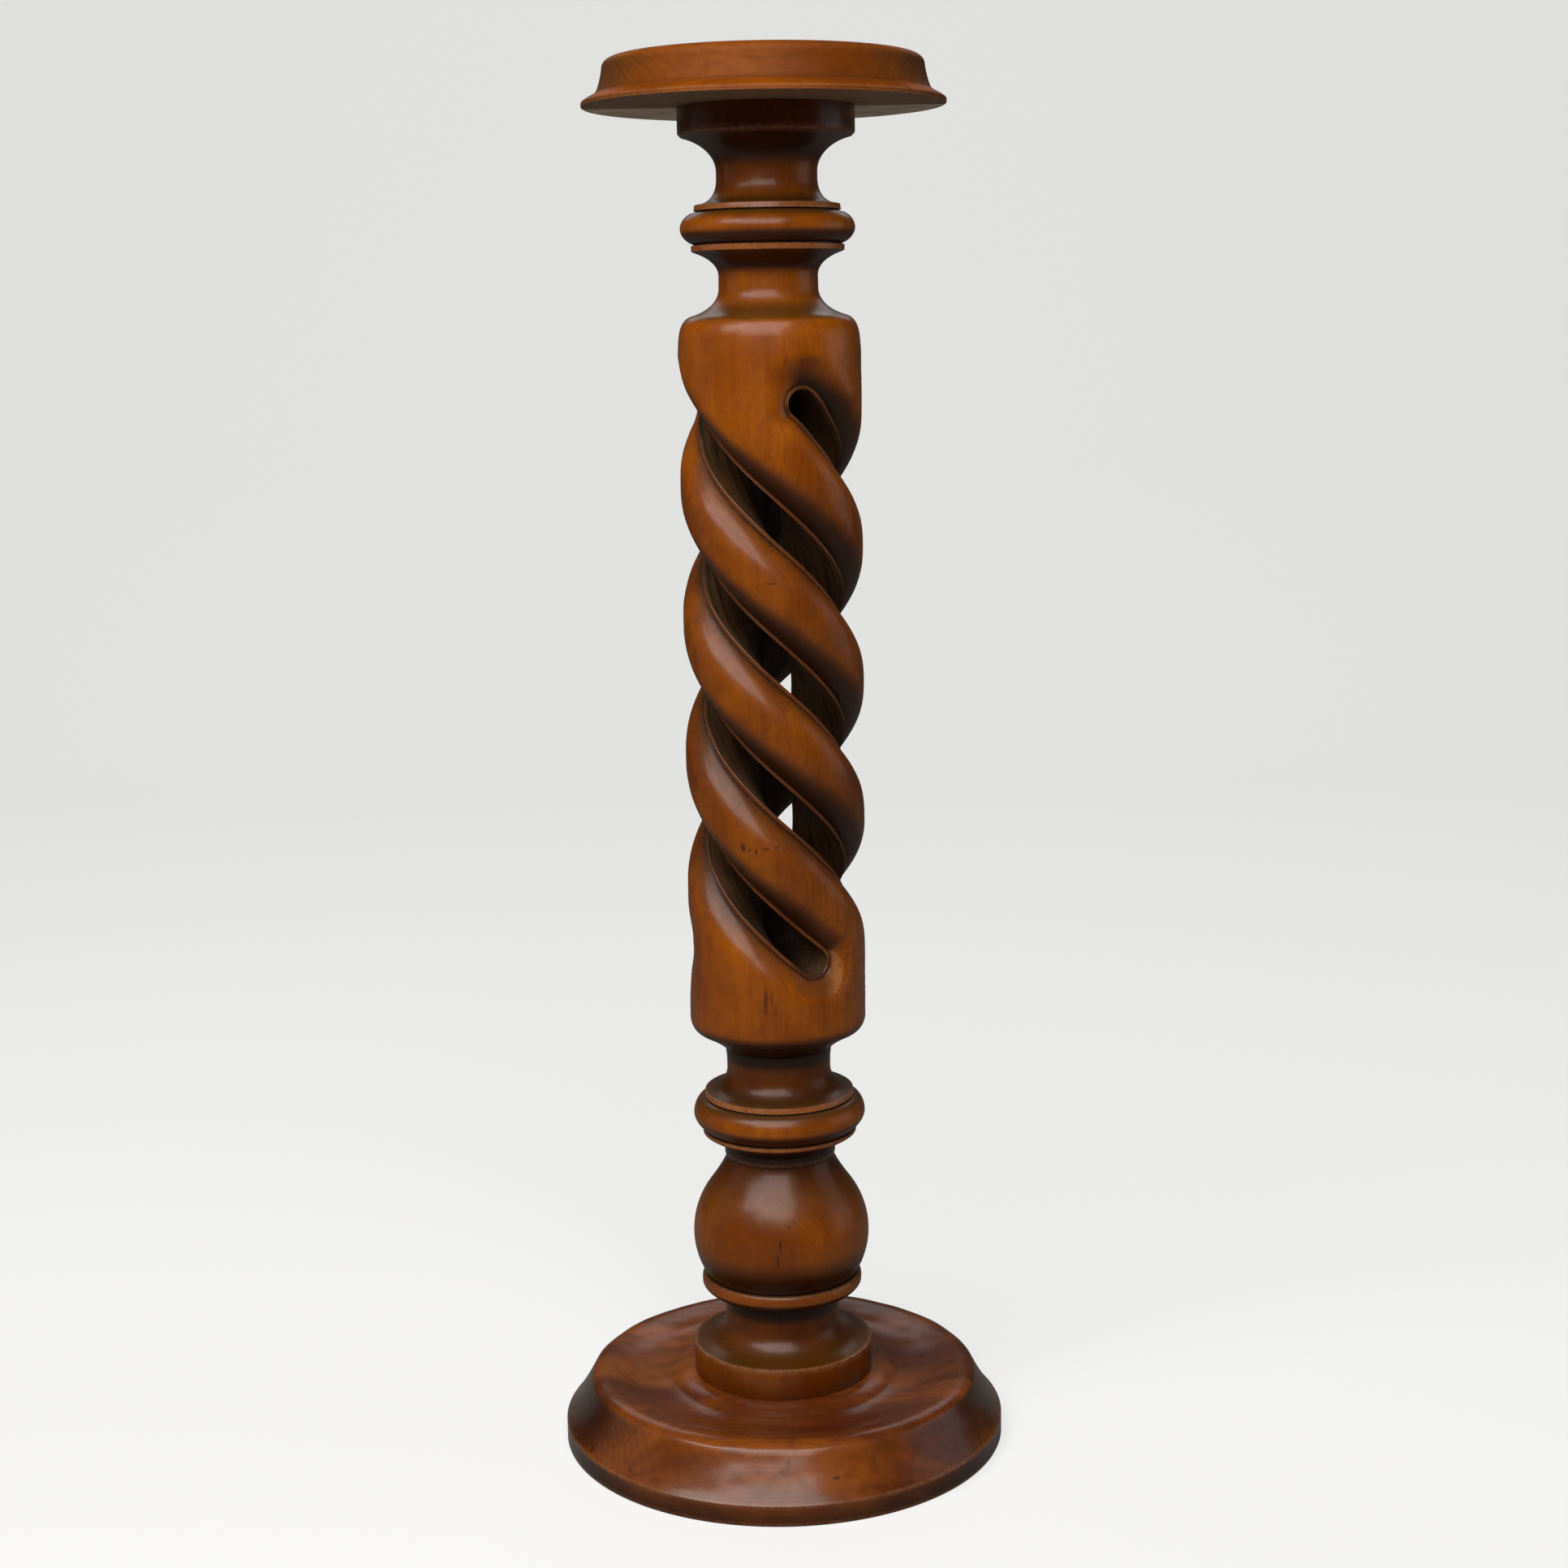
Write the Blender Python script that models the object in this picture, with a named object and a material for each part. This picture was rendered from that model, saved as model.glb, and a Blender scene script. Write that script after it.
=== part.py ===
"""Turned and carved pedestal with an open, three-strand, left-hand barley twist.

Three pieces of hardwood stand on one another on a common vertical axis:
  round_base    moulded, dished foot board
  twist_column  one turned post, its shaft carved into three open strands
  round_top     moulded top board
Metres, +Z up, origin at the centre of the underside.
"""
import math

import bmesh
import bpy

# ---------------------------------------------------------------- sizes (m)
HEIGHT = 1.0000            # datum to top surface
DATUM = 0.0017             # the sole lies this far below the height datum
GAP = 0.0003               # play between pieces that rest on each other

# foot board
BASE_RADIUS = 0.1638
BASE_BAND = 0.0136         # top of the upright band, above the datum
BASE_CREST_R = 0.1335      # ring crest of the dished top
BASE_CREST_Z = 0.0488
BASE_VALLEY_R = 0.0950
BASE_VALLEY_Z = 0.0413
BASE_SEAT_R = 0.0738       # raised seat that the column stands on
BASE_SEAT_Z = 0.0480

# top board
TOP_RADIUS = 0.1258
TOP_UNDER_Z = 0.9667
TOP_LIP = 0.0085           # height of the lip below the hollow side
TOP_FACE_R = 0.1005        # flat upper face

# column
COLLAR_R = 0.0664
COLLAR_Z = 0.0705
NECK_R = 0.0418
BALL_R = 0.0652
BALL_Z = 0.1556
HIGH_COLLAR_R = 0.0614
HIGH_COLLAR_Z = 0.9490

# twisted shaft
SHAFT_R = 0.0643           # turned cylinder that the strands are cut from
SHAFT_LOW = 0.3215
SHAFT_HIGH = 0.7985
STRANDS = 3
LEAD = 0.2921              # rise of one strand in one turn
SLOT_TOP_Z = 0.7657        # centre of each slot's upper round end
SLOT_LOW_Z = 0.3718        # centre of each slot's lower round end
SLOT_TOP_ANGLE = math.radians(-66.1)
SLOT_HALF = 0.00995        # half width of the through slot, square to its run
RIM = 0.0025               # flat fillet along the slot
RIM_R = 0.0503             # radius at which the fillet runs
HEART_R = 0.0121           # inner arris of each strand, from the axis
ROUND_POWER = 2.95         # fullness of the strand's round

SIDES = 30                 # facets of the column
BOARD_SIDES = 40           # facets of the two boards
ROWS = 32                  # rows along the open part of a slot


# ------------------------------------------------------------ turned curves
def bend(p0, p1, a0, a1, n, full=0.5523):
    """Curve from p0 to p1. Angles are headings: 0 up, 90 outward, -90 inward.
    full sets how far the curve pulls towards its corner."""
    d0 = (math.sin(math.radians(a0)), math.cos(math.radians(a0)))
    d1 = (math.sin(math.radians(a1)), math.cos(math.radians(a1)))
    vr, vz = p1[0] - p0[0], p1[1] - p0[1]
    chord = math.hypot(vr, vz)
    cross = d0[0] * d1[1] - d0[1] * d1[0]
    l0 = l1 = 0.38 * chord
    if abs(cross) > 0.05:
        t0 = (vr * d1[1] - vz * d1[0]) / cross
        t1 = (d0[0] * vz - d0[1] * vr) / cross
        if t0 > 0 and t1 > 0:
            l0, l1 = full * t0, full * t1
    q0 = (p0[0] + d0[0] * l0, p0[1] + d0[1] * l0)
    q1 = (p1[0] - d1[0] * l1, p1[1] - d1[1] * l1)
    out = []
    for i in range(1, n + 1):
        t = i / n
        s = 1 - t
        w = (s * s * s, 3 * s * s * t, 3 * s * t * t, t * t * t)
        out.append(tuple(w[0] * p0[k] + w[1] * q0[k] + w[2] * q1[k] + w[3] * p1[k]
                         for k in (0, 1)))
    return out


def outline(start, steps):
    """Profile from straight steps (r, z) and curved ones (r, z, a0, a1, n[, full])."""
    pts = [start]
    for step in steps:
        if len(step) == 2:
            pts.append(step)
        else:
            pts += bend(pts[-1], step[:2], *step[2:])
    return pts


def ball_arc(r0, z0, z1, half_height, n):
    """Arc of the ball from height z0 to z1."""
    out = []
    for i in range(1, n + 1):
        z = z0 + (z1 - z0) * i / n
        x = (z - BALL_Z) / half_height
        out.append((BALL_R * math.sqrt(1 - x * x), z))
    return out


def lower_turning():
    """Foot of the column, from its seat up to the shaft."""
    pts = outline((COLLAR_R, BASE_SEAT_Z + GAP), [
        (COLLAR_R, COLLAR_Z),                            # collar
        (NECK_R + 0.0004, 0.0900, -88, 0, 4),            # hollow
        (NECK_R, 0.1062),                                # neck
        (0.0541, 0.1108),                                # ring, underside
        (0.0593, 0.1168, 60, 0, 3),
        (0.0593, 0.1199),
        (0.0578, 0.1242, 0, -80, 1),
        (0.0566, 0.1250)])
    pts += ball_arc(0.0566, 0.1250, BALL_Z, 0.0612, 4)
    pts += ball_arc(BALL_R, BALL_Z, 0.1935, 0.0632, 4)
    pts += outline(pts[-1], [
        (0.0396, 0.2155, -37, 0, 3),                     # hollow to the neck
        (0.0410, 0.2168),
        (0.0411, 0.2228),                                # fillet
        (0.0548, 0.2322),
        (0.0567, 0.2338),
        (0.0567, 0.2358),                                # quarter round
        (0.0573, 0.2370),
        (0.0631, 0.2484, 50, 0, 3),                      # torus
        (0.0547, 0.2606, 0, -78, 3),
        (0.0543, 0.2650),                                # fillet
        (0.0380, 0.2820, -84, 0, 3, 0.60),               # hollow
        (0.0381, 0.2905),                                # neck
        (0.0390, 0.2980),
        (0.0596, 0.3117, 25, 64, 3),                     # underside of the shaft
        (SHAFT_R, SHAFT_LOW, 64, 0, 2)])[1:]
    return pts


def upper_turning():
    """Head of the column, from the shaft up to the top board."""
    return outline((SHAFT_R, SHAFT_HIGH), [
        (SHAFT_R - 0.0007, 0.8095),
        (0.0548, 0.8254, -4, -70, 3, 0.68),              # shoulder
        (0.0348, 0.8446, -74, 0, 3, 0.64),               # hollow
        (0.0347, 0.8530),
        (0.0523, 0.8693, 0, 70, 3, 0.64),
        (0.0534, 0.8700),
        (0.0535, 0.8742),                                # fillet
        (0.0609, 0.8850, 68, 0, 3),                      # torus
        (0.0527, 0.8962, 0, -75, 3),
        (0.0505, 0.8968),
        (0.0504, 0.9006),                                # fillet
        (0.0351, 0.9190, -86, 0, 3, 0.64),               # hollow
        (0.0351, 0.9235),
        (0.0594, 0.9468, 0, 76, 3, 0.60),                # flare
        (HIGH_COLLAR_R, HIGH_COLLAR_Z),
        (HIGH_COLLAR_R, TOP_UNDER_Z - GAP)])


def base_profile():
    return outline((BASE_RADIUS - 0.0004, -DATUM), [
        (BASE_RADIUS, -DATUM + 0.0004),
        (BASE_RADIUS, BASE_BAND),                        # upright band
        (0.1444, 0.0440, -43, -26, 3),                   # long shallow hollow
        (BASE_CREST_R, BASE_CREST_Z, -26, -90, 3),       # crest
        (0.1140, 0.0440),                                # dish
        (BASE_VALLEY_R, BASE_VALLEY_Z, -108, -90, 2),
        (0.0835, 0.0432),
        (BASE_SEAT_R, BASE_SEAT_Z - 0.0006, -60, -80, 2),    # raised seat
        (BASE_SEAT_R - 0.0040, BASE_SEAT_Z)])


def top_profile():
    return outline((TOP_RADIUS - 0.0010, TOP_UNDER_Z), [
        (TOP_RADIUS, TOP_UNDER_Z + 0.0010),
        (TOP_RADIUS - 0.0002, TOP_UNDER_Z + 0.0032),     # lip
        (0.1170, TOP_UNDER_Z + TOP_LIP, -10, -66, 2),
        (0.1108, TOP_UNDER_Z + 0.0272, -44, -6, 2),      # hollow side
        (TOP_FACE_R, HEIGHT, -12, -86, 3, 0.64)])


# ------------------------------------------------------------ twisted shaft
TURN = 2 * math.pi / LEAD                                # radians per metre
SLOPE = math.atan2(LEAD / (2 * math.pi), RIM_R)          # of a slot at the fillet
SIN, COS = math.sin(SLOPE), math.cos(SLOPE)
SECTOR = 2 * math.pi / STRANDS
HALF_STRAND = 0.5 * SECTOR * RIM_R * SIN - SLOT_HALF - RIM


def centre_angle(z):
    """Angle of the first slot's centre line at height z: a left-hand helix."""
    return SLOT_TOP_ANGLE + (SLOT_TOP_Z - z) * TURN


def smooth(t):
    t = min(1.0, max(0.0, t))
    return t * t * (3 - 2 * t)


def between(keys, x):
    """Smooth interpolation through (x, values) keys with falling x."""
    if x >= keys[0][0]:
        return keys[0][1]
    for (xa, va), (xb, vb) in zip(keys, keys[1:]):
        if x >= xb:
            t = smooth((xa - x) / (xa - xb))
            return tuple(p + (q - p) * t for p, q in zip(va, vb))
    return keys[-1][1]


DEEP = SHAFT_R - RIM_R
FLANK = (DEEP, HALF_STRAND, ROUND_POWER)
# depth of the fillet, reach and fullness of the scoop, by facing angle
LEFT = 270 - math.degrees(SLOPE)                         # facing of the left flank
RIGHT = 90 - math.degrees(SLOPE)                         # facing of the right flank
TOP_END = [(LEFT, (0.0108, 0.0170, 2.3)), (180, (0.0072, 0.0050, 1.0)),
           (90, (0.0082, 0.0265, 1.7)), (RIGHT, (0.0095, 0.0215, 2.3))]
LOW_END = [(RIGHT, (0.0100, 0.0190, 2.4)), (0, (0.0085, 0.0105, 1.1)),
           (-45, (0.0085, 0.0150, 1.0)), (-90, (0.0085, 0.0220, 1.8)),
           (LEFT - 360, (0.0095, 0.0200, 2.3))]


def cap_heights(low, n):
    """Heights of the outline's points round one end, ordered upward."""
    first = -math.pi / 2 + SLOPE
    hs = [SLOT_HALF * math.sin(first + (math.pi / 2 - first) * i / n)
          for i in range(n + 1)]
    if low:
        return [SLOT_LOW_Z - h for h in reversed(hs)]
    return [SLOT_TOP_Z + h for h in hs]


def outline_point(z, side):
    """Slot edge at height z. Returns offset along the round (m, at RIM_R, from
    the centre line), facing angle in degrees, and (depth, reach, fullness)."""
    for low, ez in ((True, SLOT_LOW_Z), (False, SLOT_TOP_Z)):
        h = z - ez
        shift = h / math.tan(SLOPE)                      # end centre to centre line
        if not low and side < 0 and h > -SLOT_HALF * COS or \
           not low and side > 0 and h > SLOT_HALF * COS or \
           low and side > 0 and h < SLOT_HALF * COS or \
           low and side < 0 and h < -SLOT_HALF * COS:
            w = math.sqrt(max(0.0, SLOT_HALF ** 2 - h * h))
            face = math.degrees(math.atan2(h, side * w))
            if low:
                if face > 90:
                    face -= 360
                return side * w + shift, face, between(LOW_END, face)
            if face < 0:
                face += 360
            return side * w + shift, face, between(TOP_END, face)
    face = LEFT if side < 0 else RIGHT
    up = (SLOT_TOP_Z - z) / SIN + side * SLOT_HALF / math.tan(SLOPE)
    down = (z - SLOT_LOW_Z) / SIN - side * SLOT_HALF / math.tan(SLOPE)
    at_top = TOP_END[0][1] if side < 0 else TOP_END[-1][1]
    at_low = LOW_END[-1][1] if side < 0 else LOW_END[0][1]
    reach = 0.055 if side < 0 else 0.045
    out = []
    for k in range(3):
        span = 0.030 if k == 0 else reach
        v = FLANK[k]
        v -= (FLANK[k] - at_top[k]) * (1 - smooth(up / span))
        v -= (FLANK[k] - at_low[k]) * (1 - smooth(down / span))
        out.append(v)
    return side * SLOT_HALF / SIN, face, tuple(out)


def slot_distance(x, z):
    """Distance from the slot's centre segment, on the sheet unrolled at RIM_R.
    x is measured from the centre line at the same height."""
    run = (SLOT_TOP_Z - SLOT_LOW_Z) / SIN
    px, pz = x + (SLOT_TOP_Z - z) / math.tan(SLOPE), z - SLOT_TOP_Z
    t = min(run, max(0.0, px * COS - pz * SIN))
    return math.hypot(px - t * COS, pz + t * SIN)


def shaft_faces(sides, rows, rings):
    """Vertices and faces of the carved shaft between its two plain circles."""
    half = sides // STRANDS // 2
    side_rows = max(3, round(0.043 / 0.0085))
    cap = half + side_rows
    zs = cap_heights(True, cap)
    lo, hi = zs[-1], cap_heights(False, cap)[0]
    zs += [lo + (hi - lo) * i / rows for i in range(1, rows)]
    zs += cap_heights(False, cap)
    last = len(zs) - 1

    def border(i, side):
        """Point on the strand's crest line or end circle that row i runs to."""
        if i <= half:
            return side * SECTOR / 2 * i / half, SHAFT_LOW
        if i < cap:
            f = (i - half) / (cap - half)
            return side * SECTOR / 2, SHAFT_LOW + (zs[cap] - SHAFT_LOW) * f
        if i <= last - cap:
            return side * SECTOR / 2, zs[i]
        if i < last - half:
            f = (i - (last - cap)) / (cap - half)
            return side * SECTOR / 2, zs[last - cap] + (SHAFT_HIGH - zs[last - cap]) * f
        return side * SECTOR / 2 * (last - i) / half, SHAFT_HIGH

    verts, faces, index = [], [], {}

    def vertex(r, angle, z):
        p = (r * math.cos(angle), r * math.sin(angle), z)
        key = tuple(round(c * 1e6) for c in p)
        if key not in index:
            index[key] = len(verts)
            verts.append(p)
        return index[key]

    def quad(a, b, c, d):
        ring = []
        for v in (a, b, c, d):
            if v not in ring:
                ring.append(v)
        if len(ring) > 2:
            faces.append(ring)

    for sector in range(STRANDS):
        turn = sector * SECTOR
        for side in (-1, 1):
            grid = []
            for i, z in enumerate(zs):
                x, face, (depth, reach, power) = outline_point(z, side)
                if i in (0, last):
                    face = -90 if i == 0 else 90
                nx, nz = math.cos(math.radians(face)), math.sin(math.radians(face))
                full = 0.5 * (outline_point(z, -1)[0] + outline_point(z, 1)[0])
                wide = 0.5 * (outline_point(z, 1)[0] - outline_point(z, -1)[0])
                heart = HEART_R * wide * SIN / SLOT_HALF
                base = centre_angle(z) + turn
                line = [vertex(heart, base + full / RIM_R + side * SECTOR / 2, z),
                        vertex(SHAFT_R - depth, base + x / RIM_R, z)]
                # fillet, then the round of the strand
                ex = x + (SLOT_TOP_Z - z) / math.tan(SLOPE) + nx * RIM
                ez = z + nz * RIM
                ex -= (SLOT_TOP_Z - ez) / math.tan(SLOPE)
                bx, bz = border(i, side)
                bx *= RIM_R
                for k in range(rings + 1):
                    f = (k / rings) ** 1.35
                    px, pz = ex + (bx - ex) * f, ez + (bz - ez) * f
                    far = max(0.0, slot_distance(px, pz) - SLOT_HALF - RIM)
                    cut = depth * max(0.0, 1 - far / reach) ** power
                    if k == rings:
                        cut = 0.0
                    line.append(vertex(SHAFT_R - cut,
                                       centre_angle(pz) + turn + px / RIM_R, pz))
                grid.append(line)
            for low, high in zip(grid, grid[1:]):
                for k in range(len(low) - 1):
                    a, b, c, d = low[k], low[k + 1], high[k + 1], high[k]
                    quad(*((a, b, c, d) if side > 0 else (d, c, b, a)))
    return verts, faces


# ------------------------------------------------------------------ objects
def material(name, colour, roughness):
    mat = bpy.data.materials.new(name)
    mat.use_nodes = True
    shader = mat.node_tree.nodes["Principled BSDF"]
    shader.inputs["Base Color"].default_value = (*colour, 1.0)
    shader.inputs["Roughness"].default_value = roughness
    shader.inputs["Metallic"].default_value = 0.0
    return mat


def add_object(name, bm, mat, sharp_degrees=32):
    bmesh.ops.translate(bm, verts=bm.verts, vec=(0.0, 0.0, DATUM))
    bmesh.ops.recalc_face_normals(bm, faces=bm.faces)
    mesh = bpy.data.meshes.new(name)
    bm.to_mesh(mesh)
    bm.free()
    mesh.materials.append(mat)
    mesh.shade_smooth()
    mesh.set_sharp_from_angle(angle=math.radians(sharp_degrees))
    obj = bpy.data.objects.new(name, mesh)
    bpy.context.scene.collection.objects.link(obj)
    return obj


def ring_of(bm, r, z, sides, phase):
    return [bm.verts.new((r * math.cos(phase + 2 * math.pi * i / sides),
                          r * math.sin(phase + 2 * math.pi * i / sides), z))
            for i in range(sides)]


def join_rings(bm, rings):
    for low, high in zip(rings, rings[1:]):
        n = len(low)
        for i in range(n):
            bm.faces.new((low[i], low[(i + 1) % n], high[(i + 1) % n], high[i]))


def turned_board(name, pts, sides, mat):
    bm = bmesh.new()
    rings = [ring_of(bm, r, z, sides, 0.0) for r, z in pts]
    join_rings(bm, rings)
    bm.faces.new(list(reversed(rings[0])))
    bm.faces.new(rings[-1])
    return add_object(name, bm, mat)


def column(mat):
    bm = bmesh.new()
    verts, faces = shaft_faces(SIDES, ROWS, 3)
    made = [bm.verts.new(v) for v in verts]
    for face in faces:
        bm.faces.new([made[i] for i in face])
    lower, upper = lower_turning(), upper_turning()
    low_phase = centre_angle(SHAFT_LOW)
    high_phase = centre_angle(SHAFT_HIGH)
    low = [ring_of(bm, r, z, SIDES, low_phase) for r, z in lower]
    high = [ring_of(bm, r, z, SIDES, high_phase) for r, z in upper]
    join_rings(bm, low)
    join_rings(bm, high)
    bm.faces.new(list(reversed(low[0])))
    bm.faces.new(high[-1])
    bmesh.ops.remove_doubles(bm, verts=bm.verts, dist=0.00002)
    return add_object("twist_column", bm, mat)


def main():
    for obj in list(bpy.data.objects):
        bpy.data.objects.remove(obj, do_unlink=True)
    turned = material("stained_hardwood", (0.17, 0.055, 0.013), 0.33)
    foot = material("stained_foot_board", (0.15, 0.045, 0.014), 0.36)
    head = material("stained_top_board", (0.13, 0.042, 0.013), 0.40)
    turned_board("round_base", base_profile(), BOARD_SIDES, foot)
    column(turned)
    turned_board("round_top", top_profile(), BOARD_SIDES, head)


main()
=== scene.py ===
"""Looks of the barley-twist pedestal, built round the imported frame.

Three visual meshes stand for the three CAD nodes: a foot board and a top board
turned from flat-grained boards, and a column turned and carved from one
upright-grained post. Metres, +Z up.
"""

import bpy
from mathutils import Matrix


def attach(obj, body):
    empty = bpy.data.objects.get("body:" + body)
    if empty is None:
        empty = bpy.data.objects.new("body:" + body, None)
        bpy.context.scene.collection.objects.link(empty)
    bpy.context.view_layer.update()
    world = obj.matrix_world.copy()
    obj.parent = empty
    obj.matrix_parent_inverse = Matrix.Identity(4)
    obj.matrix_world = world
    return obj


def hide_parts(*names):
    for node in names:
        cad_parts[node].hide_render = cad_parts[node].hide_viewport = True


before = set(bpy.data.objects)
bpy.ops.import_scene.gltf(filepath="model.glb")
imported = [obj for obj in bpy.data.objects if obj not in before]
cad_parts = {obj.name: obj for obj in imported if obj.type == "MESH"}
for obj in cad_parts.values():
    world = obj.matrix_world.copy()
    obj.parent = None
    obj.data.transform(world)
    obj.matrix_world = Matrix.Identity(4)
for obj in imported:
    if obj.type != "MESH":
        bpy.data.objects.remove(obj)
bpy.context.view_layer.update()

import math

import bpy
import numpy as np

# ---------------------------------------------------------------- sizes (m)
HEIGHT = 1.0000
DATUM = 0.0017
GAP = 0.0003

BASE_RADIUS = 0.1638
BASE_BAND = 0.0136
BASE_CREST_R, BASE_CREST_Z = 0.1335, 0.0488
BASE_VALLEY_R, BASE_VALLEY_Z = 0.1000, 0.0412
BASE_SEAT_R, BASE_SEAT_Z = 0.0735, 0.0480

TOP_RADIUS = 0.1258
TOP_UNDER_Z = 0.9667
TOP_LIP = 0.0072
TOP_FACE_R = 0.1005

COLLAR_R, COLLAR_Z = 0.0664, 0.0705
NECK_R = 0.0418
BALL_R, BALL_Z = 0.0652, 0.1556
HIGH_COLLAR_R, HIGH_COLLAR_Z = 0.0614, 0.9490

SHAFT_R = 0.0643
SHAFT_LOW, SHAFT_HIGH = 0.3215, 0.7985
STRANDS = 3
LEAD = 0.2921
SLOT_TOP_Z, SLOT_LOW_Z = 0.7657, 0.3718
SLOT_TOP_ANGLE = math.radians(-66.1)
SLOT_HALF = 0.00995
RIM = 0.0025
RIM_R = 0.0503
HEART_R = 0.0121
ROUND_POWER = 2.95

SIDES = 144          # facets round the column
ROWS = 204           # rows along the open part of a slot
RINGS = 15           # rings from the fillet to the strand's crest
BOARD_SIDES = 288


# ------------------------------------------------------------ turned curves
def bend(p0, p1, a0, a1, n, full=0.5523):
    """Curve from p0 to p1. Angles are headings: 0 up, 90 outward, -90 inward."""
    d0 = (math.sin(math.radians(a0)), math.cos(math.radians(a0)))
    d1 = (math.sin(math.radians(a1)), math.cos(math.radians(a1)))
    vr, vz = p1[0] - p0[0], p1[1] - p0[1]
    cross = d0[0] * d1[1] - d0[1] * d1[0]
    l0 = l1 = 0.38 * math.hypot(vr, vz)
    if abs(cross) > 0.05:
        t0 = (vr * d1[1] - vz * d1[0]) / cross
        t1 = (d0[0] * vz - d0[1] * vr) / cross
        if t0 > 0 and t1 > 0:
            l0, l1 = full * t0, full * t1
    q0 = (p0[0] + d0[0] * l0, p0[1] + d0[1] * l0)
    q1 = (p1[0] - d1[0] * l1, p1[1] - d1[1] * l1)
    out = []
    for i in range(1, n + 1):
        t = i / n
        s = 1 - t
        w = (s * s * s, 3 * s * s * t, 3 * s * t * t, t * t * t)
        out.append(tuple(w[0] * p0[k] + w[1] * q0[k] + w[2] * q1[k] + w[3] * p1[k]
                         for k in (0, 1)))
    return out


def outline(start, steps):
    """Profile from straight steps (r, z) and curved ones (r, z, a0, a1[, full])."""
    pts = [start]
    for step in steps:
        if len(step) == 2:
            pts.append(step)
        else:
            pts += bend(pts[-1], step[:2], step[2], step[3], 14, *step[4:])
    return pts


def ball_arc(z0, z1, half_height, n):
    out = []
    for i in range(1, n + 1):
        z = z0 + (z1 - z0) * i / n
        x = (z - BALL_Z) / half_height
        out.append((BALL_R * math.sqrt(1 - x * x), z))
    return out


def soften(pts, radius, least=20):
    """Rounds each corner of a profile that turns by more than least degrees."""
    out = [pts[0]]
    for a, b, c in zip(pts, pts[1:], pts[2:]):
        u = (a[0] - b[0], a[1] - b[1])
        v = (c[0] - b[0], c[1] - b[1])
        lu, lv = math.hypot(*u), math.hypot(*v)
        if lu < 1e-9 or lv < 1e-9:
            continue
        cosine = -(u[0] * v[0] + u[1] * v[1]) / (lu * lv)
        turn = math.acos(max(-1.0, min(1.0, cosine)))
        if math.degrees(turn) < least:
            out.append(b)
            continue
        cut = min(radius * math.tan(turn / 2), 0.45 * lu, 0.45 * lv)
        p = (b[0] + u[0] / lu * cut, b[1] + u[1] / lu * cut)
        q = (b[0] + v[0] / lv * cut, b[1] + v[1] / lv * cut)
        steps = 3 if turn > 0.9 else 2
        for k in range(steps + 1):
            t = k / steps
            s = 1 - t
            out.append(tuple(s * s * p[k] + 2 * s * t * b[k] + t * t * q[k]
                             for k in (0, 1)))
    out.append(pts[-1])
    return out


def thin(pts, slack):
    """Drops points that lie within slack of the line through their neighbours."""
    keep, stack = {0, len(pts) - 1}, [(0, len(pts) - 1)]
    while stack:
        i, j = stack.pop()
        ax, az = pts[i]
        bx, bz = pts[j][0] - ax, pts[j][1] - az
        run = math.hypot(bx, bz) or 1e-12
        worst, at = slack, None
        for k in range(i + 1, j):
            off = abs((pts[k][0] - ax) * bz - (pts[k][1] - az) * bx) / run
            if off > worst:
                worst, at = off, k
        if at is not None:
            keep.add(at)
            stack += [(i, at), (at, j)]
    return [pts[k] for k in sorted(keep)]


def respace(pts, most, least=0.00012):
    """Splits long steps and drops points that lie closer than least."""
    pts = thin(pts, 0.00004)
    out = [pts[0]]
    for p in pts[1:]:
        a = out[-1]
        d = math.hypot(p[0] - a[0], p[1] - a[1])
        if d < least and p is not pts[-1]:
            continue
        n = max(1, math.ceil(d / most))
        for i in range(1, n + 1):
            out.append((a[0] + (p[0] - a[0]) * i / n, a[1] + (p[1] - a[1]) * i / n))
    return out


def lower_turning():
    """Foot of the column, from its seat up to the shaft."""
    pts = outline((COLLAR_R, BASE_SEAT_Z + GAP), [
        (COLLAR_R, COLLAR_Z),                            # collar
        (COLLAR_R - 0.0004, COLLAR_Z + 0.0002),
        (NECK_R + 0.0004, 0.0900, -88, 0),               # hollow
        (NECK_R, 0.1062),                                # neck
        (0.0540, 0.1108),                                # ring, underside
        (0.0594, 0.1168, 60, 0),
        (0.0595, 0.1194),
        (0.0575, 0.1236, 0, -84),                        # ring, top
        (0.0552, 0.1240),                                # quirk
        (0.0556, 0.1246)])
    pts += ball_arc(0.1250, BALL_Z, 0.0612, 22)
    pts += ball_arc(BALL_Z, 0.1935, 0.0632, 26)
    pts += outline(pts[-1], [
        (0.0396, 0.2155, -37, 0),                        # hollow to the neck
        (0.0408, 0.2168),
        (0.0411, 0.2226),                                # fillet
        (0.0470, 0.2278, 34, 56),
        (0.0566, 0.2334, 64, 6),                         # quarter round
        (0.0566, 0.2357),
        (0.0549, 0.2361),                                # quirk
        (0.0552, 0.2368),
        (0.0632, 0.2478, 62, 0),                         # torus
        (0.0556, 0.2600, 0, -80),
        (0.0536, 0.2604),                                # quirk
        (0.0537, 0.2610),
        (0.0551, 0.2613),
        (0.0546, 0.2650),                                # fillet
        (0.0536, 0.2653),
        (0.0380, 0.2820, -84, 0, 0.60),                  # hollow
        (0.0381, 0.2905),                                # neck
        (0.0390, 0.2980),
        (0.0405, 0.2992),
        (0.0596, 0.3117, 42, 64),                        # underside of the shaft
        (SHAFT_R, SHAFT_LOW, 64, 0)])[1:]
    return pts


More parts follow.
